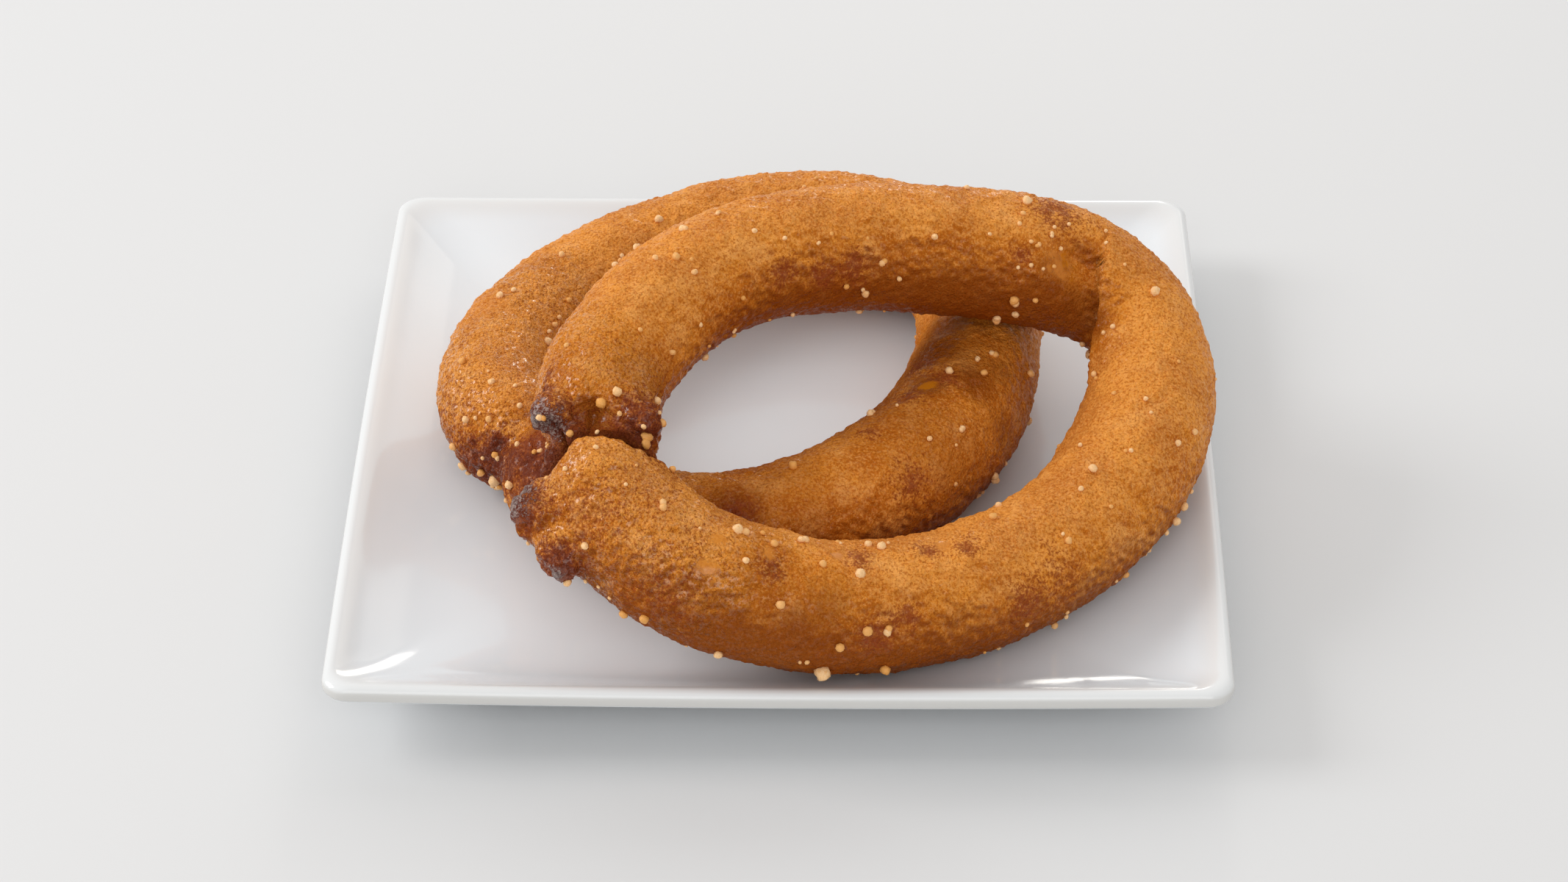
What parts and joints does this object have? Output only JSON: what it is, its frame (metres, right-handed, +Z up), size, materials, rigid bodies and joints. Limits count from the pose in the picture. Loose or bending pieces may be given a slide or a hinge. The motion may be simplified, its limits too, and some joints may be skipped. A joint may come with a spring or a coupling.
{
  "type": "sel roti on a square plate",
  "caption": "Ring-shaped fried rice breads with blunt meeting ends, stacked and leaning on a shallow square white porcelain plate with sloping sides.",
  "frame": {"origin": "on the table, under the middle of the plate", "axes": "+Z up, +X to the right along the plate's front edge, +Y away from that edge"},
  "size_m": [0.2044, 0.2044, 0.0803],
  "materials": {
    "porcelain": "glossy white glaze",
    "crust": "deep-fried rice batter crust, golden brown, pebbly and slightly oily"
  },
  "bodies": {
    "root": {"plate": "porcelain", "sel_roti_lower": "crust", "sel_roti_upper": "crust"}
  },
  "joints": []
}
